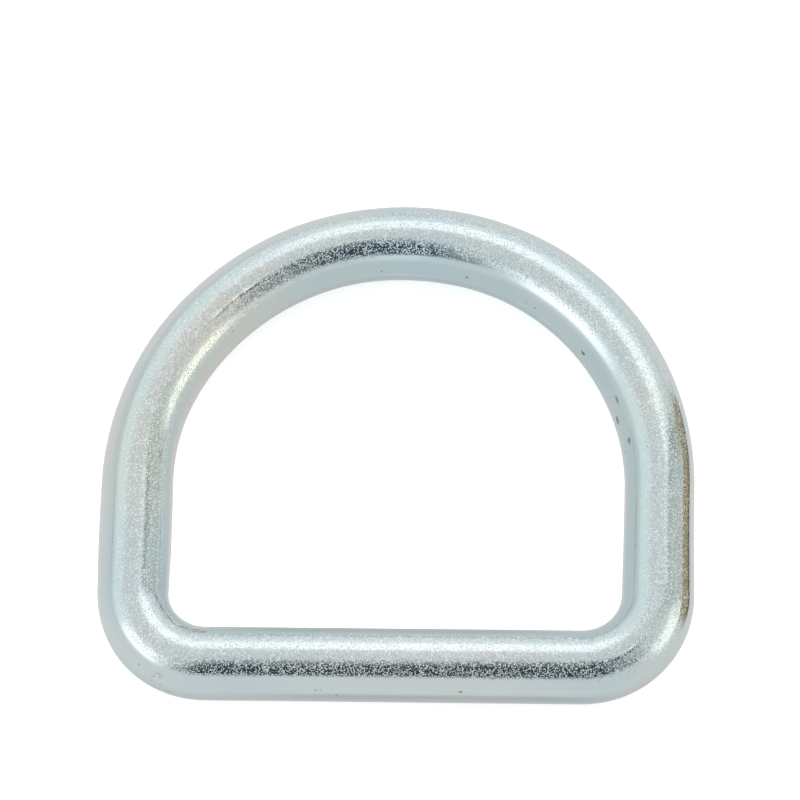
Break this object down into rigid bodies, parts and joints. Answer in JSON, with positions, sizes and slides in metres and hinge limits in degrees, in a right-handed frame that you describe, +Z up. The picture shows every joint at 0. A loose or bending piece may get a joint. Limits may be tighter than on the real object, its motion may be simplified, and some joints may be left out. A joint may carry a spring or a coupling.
{
  "type": "d ring",
  "caption": "Closed D-shaped ring of round zinc-plated steel bar, with a straight bar for webbing and a half-round bow for a hook.",
  "frame": {"origin": "on the ground plane, under the middle of the overall outline", "axes": "+X along the straight bar, +Y towards the crown of the bow, +Z up, square to the ring's plane"},
  "size_m": [0.0664, 0.0582, 0.0082],
  "materials": {
    "zinc_plated_steel": "bright blue-white zinc plate over fine blasted steel"
  },
  "bodies": {
    "root": {"d_ring": "zinc_plated_steel"}
  },
  "joints": []
}
